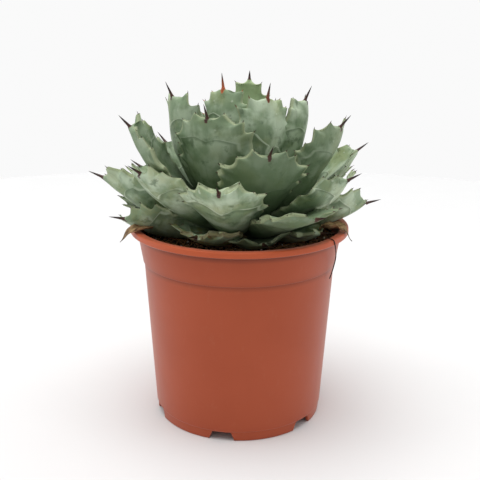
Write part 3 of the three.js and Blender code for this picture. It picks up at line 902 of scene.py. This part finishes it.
def buildStem():
    # a straight stem that swells into a ball, ringed by leaf scars
    form = stemForm
    level = mixLevel
    centre = crownHeight
    first = -np.arccos(form["radius"] / form["crownRadius"])
    angle = np.linspace(first, np.pi / 2 - 0.04, form["rings"])
    radius = np.concatenate([[form["radius"] * 0.9, form["radius"]], form["crownRadius"] * np.cos(angle)])
    height = np.concatenate([[level - form["depth"] + 0.4, level - form["depth"] + 1.2],
                             centre + form["crownRadius"] * np.sin(angle)])
    turn = np.linspace(0, 2 * np.pi, form["around"], endpoint=False)
    scars = 0.5 * np.abs(np.sin(np.pi * height / form["scarGap"]))[:, None]
    scars = scars + 0.4 * rough(turn * form["radius"], height[:, None], 3, 5)
    radius = radius[:, None] - scars * smooth(0, 5, radius)[:, None]
    vertices, faces = closedTube(turned(radius, height[:, None], turn))
    piece = addMesh("stem.crown", vertices, faces)
    finishPiece(piece, stemBark(), "stem_flesh", "stem")


def stemBark():
    # cork as it grew on an agave's stem: pale and matt, with the brown rims of old leaf bases
    material, tree, place = newMaterial("corky agave stem")
    grain = pattern(tree, place, 2.2, 5, 0.6, (1, 1, 2.5))
    colour = paint(tree, stemForm["dark"], (stemForm["pale"], 1, (grain, 0.38, 0.62)))
    return finish(material, Base_Color=colour, Roughness=0.85, Normal=relief(tree, (grain, 0.6)))


def buildBud(material):
    # the furled heart: a spindle whose radius is a skewed sine, grooved where the leaf edges wrap round it
    form = budForm
    foot = crownHeight + stemForm["crownRadius"] + form["overCrown"]
    t = np.linspace(0, 1, form["rings"])
    turn = np.linspace(0, 2 * np.pi, form["around"], endpoint=False)
    swell = np.maximum(np.sin(np.pi * (0.16 + 0.84 * t ** 0.8)) * form["radius"], 0.25)
    groove = 0.45 * np.maximum(0, np.cos(turn - 7 * t[:, None])) ** 12
    radius = swell[:, None] * (1 - groove * smooth(1, 0.2, t)[:, None])
    height = foot + (crownHeight + form["rise"] - foot) * t[:, None]
    vertices, faces = closedTube(turned(radius, height, turn))
    piece = addMesh("heart_bud.furled", vertices, faces)
    rows = np.concatenate([np.repeat(t, form["around"]), [0, 1]])
    for key, value in {"upper": 1, "imprint": noImprint, "youth": 0.8, "along": 0.5}.items():
        paintVertices(piece, key, np.full(len(vertices), value))
    paintVertices(piece, "horn", smooth(0.94, 1.0, rows))
    columns = np.concatenate([np.tile(turn, form["rings"]), [0, 0]])
    layUv(piece, np.stack([columns * 4, rows * 60], axis=-1) * mm)
    finishPiece(piece, material, "young_leaf", "heart_bud")


# root and tip are out from the pot's axis and above its lip, in millimetres; droop bends the dead tip down
driedLeaves = [
    dict(node="dried_leaf_1", azimuth=-67, root=(50, 1.6), tip=(67.5, -2.6), width=9, droop=2.0, seed=4),
    dict(node="dried_leaf_2", azimuth=69, root=(46, 1.4), tip=(63.5, 0.8), width=9, droop=5.0, seed=9),
]
driedForm = {
    "thickness": 0.55, "around": 40, "rings": 60, "dark": "#6e5034", "pale": "#b4946a", "tip": "#2f211a",
}


def buildDried(leaf, material):
    # a thin blade, half a sine wide, curled at both margins and crumpled
    form = driedForm
    rng = np.random.default_rng(leaf["seed"])
    around = np.radians(leaf["azimuth"])
    outward = np.array([np.sin(around), -np.cos(around), 0])
    across = np.array([np.cos(around), np.sin(around), 0])
    t = np.linspace(0, 1, form["rings"])
    turn = np.linspace(0, 2 * np.pi, form["around"], endpoint=False)
    far = leaf["root"][0] + (leaf["tip"][0] - leaf["root"][0]) * t
    level = potHeight + leaf["root"][1] + (leaf["tip"][1] - leaf["root"][1]) * t + 1.2 * np.sin(np.pi * t)
    level = level - leaf["droop"] * smooth(0.75, 1, t)
    halfWidth = leaf["width"] / 2 * np.sin(np.pi * (0.22 + 0.74 * t)) ** 0.8
    halfWidth = halfWidth * (1 - 0.8 * smooth(0.72, 1, t))
    x = halfWidth[:, None] * np.cos(turn)
    curl = 0.10 * x ** 2 * rng.uniform(0.8, 1.2) + 0.8 * rough(x + 30, 20 * t[:, None], 3.5, leaf["seed"])
    thick = form["thickness"] * (1 - 0.6 * smooth(0.7, 1, t))[:, None] * np.sin(turn)
    points = (far[:, None, None] * outward + x[..., None] * across
              + (level[:, None] + curl + thick)[..., None] * np.array([0, 0, 1.0]))
    vertices, faces = closedTube(points)
    name = leaf["node"].replace("dried_leaf_", "dried_leaf.shrivelled.")
    piece = addMesh(name, vertices, faces)
    paintVertices(piece, "tone", np.concatenate([np.repeat(smooth(0.6, 1, t), form["around"]), [0, 1]]))
    finishPiece(piece, material, "dried_leaf", leaf["node"])


def driedSkin():
    # an agave leaf dried on the plant, papery and matt: straw and brown, dark at the tip
    material, tree, place = newMaterial("dried agave leaf")
    blotch = pattern(tree, place, 3, 5, 0.6)
    colour = paint(tree, driedForm["dark"], (driedForm["pale"], 1, (blotch, 0.38, 0.62)),
                   (driedForm["tip"], 0.85, "tone"))
    return finish(material, Base_Color=colour, Roughness=0.85,
                  Normal=relief(tree, (pattern(tree, place, 1.0, 4), 0.3)))


# each place of the route is out from the rim, above the lip and aside, in millimetres
threadForm = {
    "azimuth": 59, "radius": 0.28, "steps": 90, "evenOver": 11,
    "route": [(-5, 0.6, -7), (-1, 0.5, -6.5), (0.4, -0.4, -6), (0.4, -4.5, -4.5), (-0.6, -9, -1.5),
              (-2.6, -14, 2.2), (-4.6, -20, 4.2), (-6.0, -25, 3.6)],
}


def buildThread():
    # one dark root thread that comes out of the mix, crosses the lip and hangs past the collar: a six-sided
    # tube along the route, whose corners are rounded by a running mean
    form = threadForm
    count = len(form["route"])
    t = np.clip(np.linspace(-0.4, count - 0.6, form["steps"]), 0, count - 1)
    columns = (np.interp(t, np.arange(count), column) for column in zip(*form["route"]))
    share = np.ones(form["evenOver"]) / form["evenOver"]
    far, level, aside = (np.convolve(column, share, mode="valid") for column in columns)
    line = turned(lipRadius + far, potHeight + level, np.radians(form["azimuth"]) + aside / lipRadius)
    vertices, faces = closedTube(tubeAlong(line, form["radius"], 6, [0.3, 0.2, 1.0]))
    piece = addMesh("potting_mix.root_thread", vertices, faces)
    paintVertices(piece, "tone", np.zeros(len(vertices)))
    finishPiece(piece, crumbs("dry root", mixColours["peat"], mixColours["bark"]), "potting_mix")


placeCamera()
setStudio()
layFloor()
print("camera, lights and floor are in place")

buildPot()
print("the pot is turned")

buildMix()
bark = crumbs("composted bark", mixColours["bark"], mixColours["barkPale"])
scatter("potting_mix.bark", mixForm["bark"], (0.6, 2.1), 0.4, 0.12, 21, bark)
perlite = crumbs("expanded perlite", mixColours["perlite"], mixColours["perlitePale"])
scatter("potting_mix.perlite", mixForm["perlite"], (0.4, 1.3), 0.8, 0.25, 22, perlite)
buildFibres()
buildThread()
print("the mix is filled in")

cuticle = leafSkin()
buildStem()
buildBud(cuticle)
for index, leaf in enumerate(leaves):
    buildLeaf(index, leaf, cuticle)
dead = driedSkin()
for leaf in driedLeaves:
    buildDried(leaf, dead)
print("leaves:", len(leaves), "and", len(driedLeaves), "dried")
